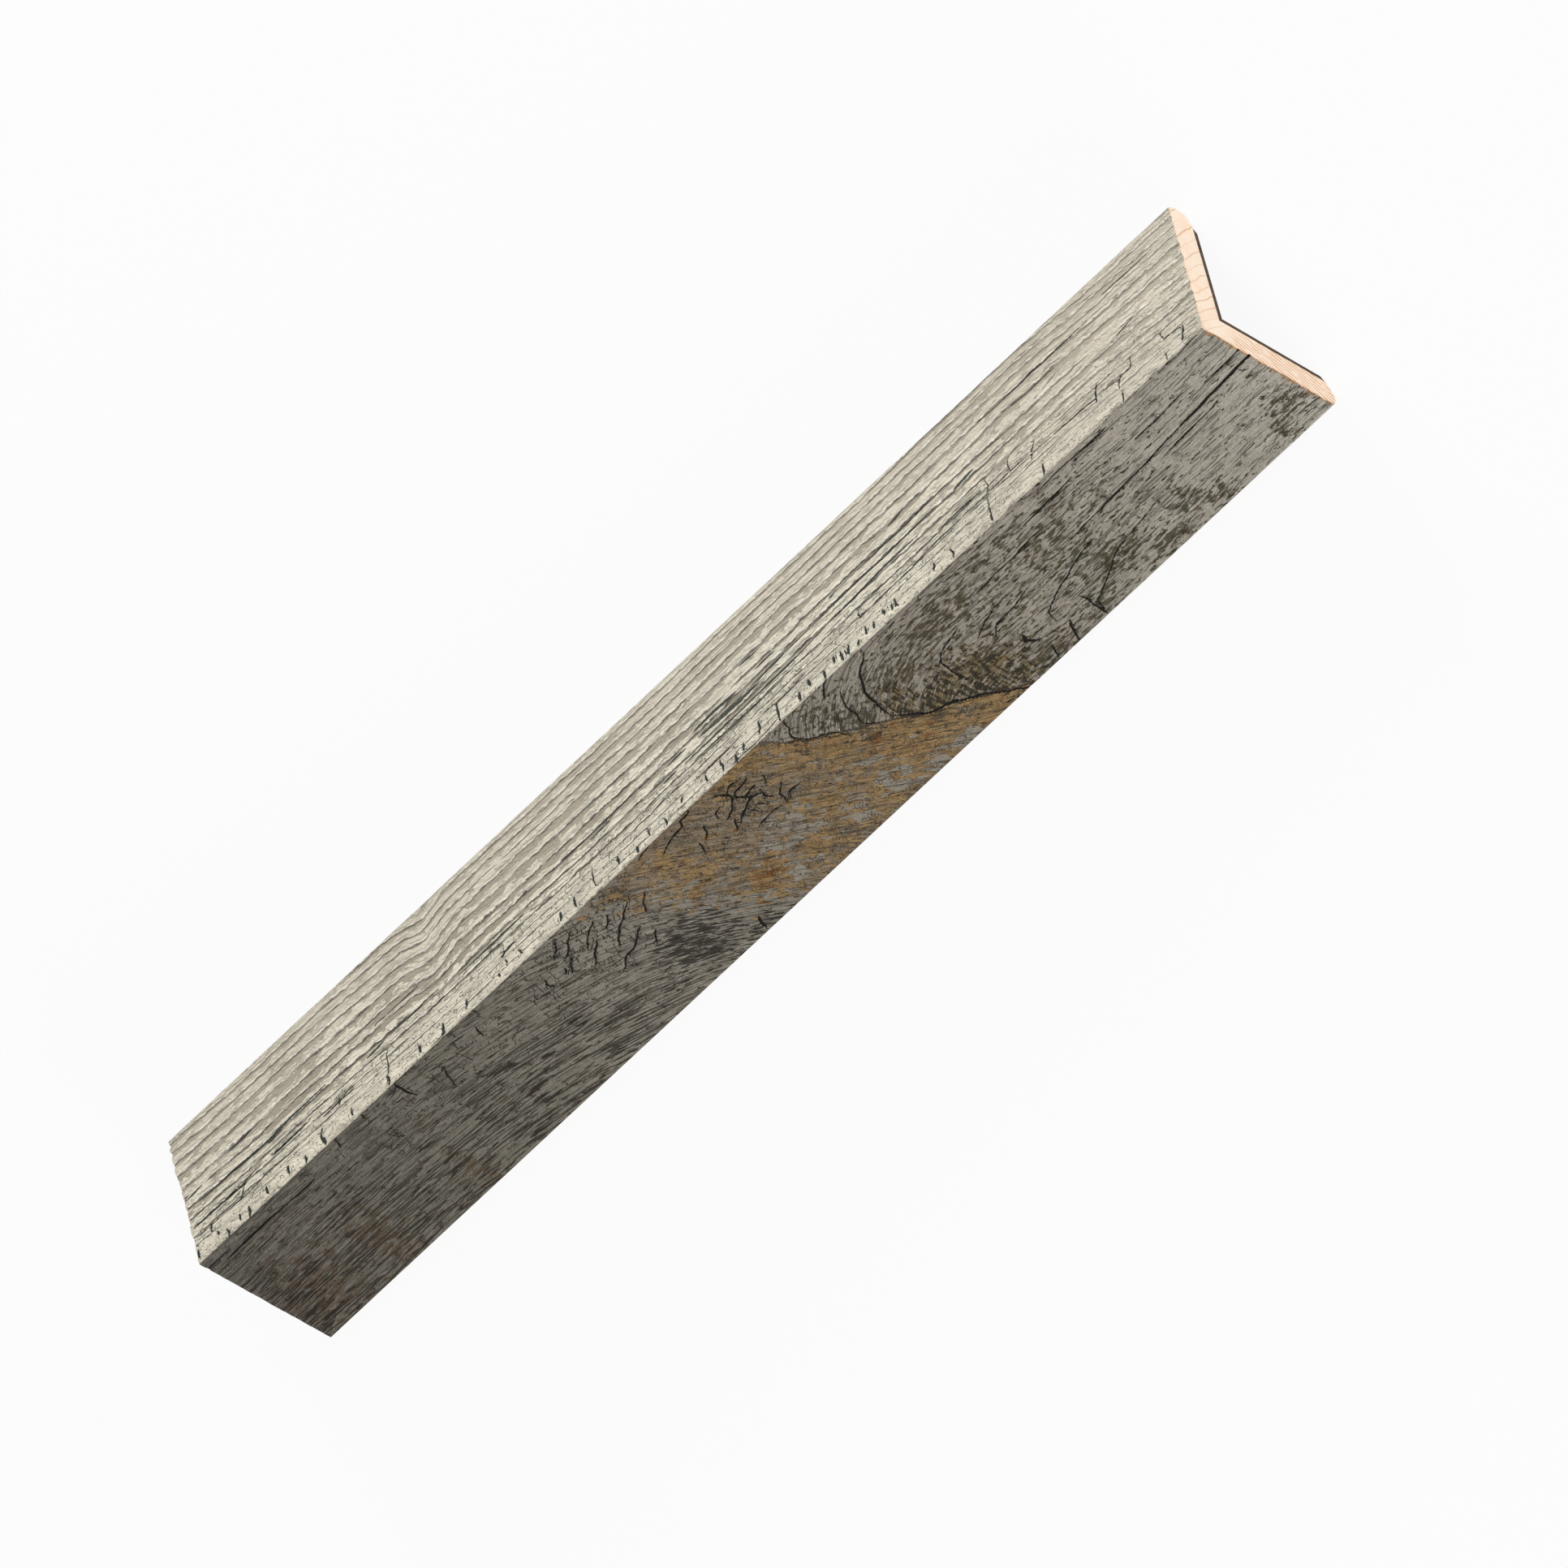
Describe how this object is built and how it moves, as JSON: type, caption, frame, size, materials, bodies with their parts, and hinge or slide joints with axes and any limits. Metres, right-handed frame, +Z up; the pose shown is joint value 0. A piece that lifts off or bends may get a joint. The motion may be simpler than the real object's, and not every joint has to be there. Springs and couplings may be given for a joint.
{
  "type": "corner guard moulding",
  "caption": "L-section timber moulding with a sharp outer corner, eased tips and a thin backing sheet, to cover and guard an outside wall corner.",
  "frame": {"origin": "centre of the bounding box at its base, on the floor under the ridge", "axes": "+X along the length towards the end whose cut section the picture shows, +Y towards the pale leg, +Z up through the outer corner"},
  "size_m": [0.3048, 0.0524, 0.03],
  "materials": {
    "weathered_pine": "weathered whitewash over sawn pine, matt",
    "fibre_sheet": "dark brown fibre sheet, matt"
  },
  "bodies": {
    "root": {"moulding": "weathered_pine", "backing": "fibre_sheet"}
  },
  "joints": []
}
